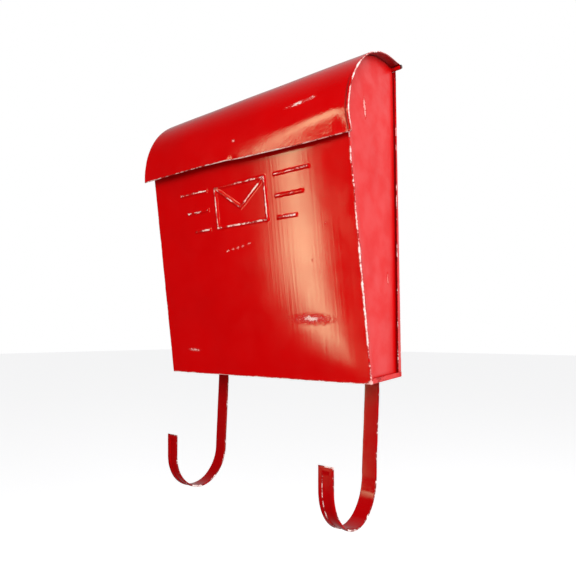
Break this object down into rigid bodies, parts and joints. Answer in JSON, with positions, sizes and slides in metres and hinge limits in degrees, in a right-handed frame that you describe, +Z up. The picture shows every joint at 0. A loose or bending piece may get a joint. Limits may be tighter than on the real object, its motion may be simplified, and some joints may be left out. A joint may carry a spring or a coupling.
{
  "type": "wall mailbox",
  "caption": "Wall-hung sheet-metal mailbox: tapered box with recessed sides, quarter-round hinged lid and J-shaped newspaper hooks below.",
  "frame": {"origin": "centre of the four wall-screw holes, on the back face that lies on the wall", "axes": "+Z up, -Y out of the wall towards the user, +X to the right seen from the front"},
  "size_m": [0.2958, 0.108, 0.4675],
  "materials": {
    "red_paint": "gloss",
    "red_paint_hooks": "gloss",
    "pin_steel": "satin",
    "rivet_paint": "gloss"
  },
  "bodies": {
    "box": {"front_panel": "red_paint", "bottom_panel": "red_paint", "left_side_panel": "red_paint", "right_side_panel": "red_paint", "back_panel": "red_paint", "hinge_pin": "pin_steel", "left_newspaper_hook": "red_paint_hooks", "right_newspaper_hook": "red_paint_hooks", "left_hook_rivets": "rivet_paint", "right_hook_rivets": "rivet_paint"},
    "lid": {"lid": "red_paint"}
  },
  "joints": [
    {"name": "lid_hinge", "type": "hinge", "parent": "box", "child": "lid", "pos_m": [0, -0.0024, 0.1576], "axis": [-1, 0, 0], "range_deg": [0, 88]}
  ]
}
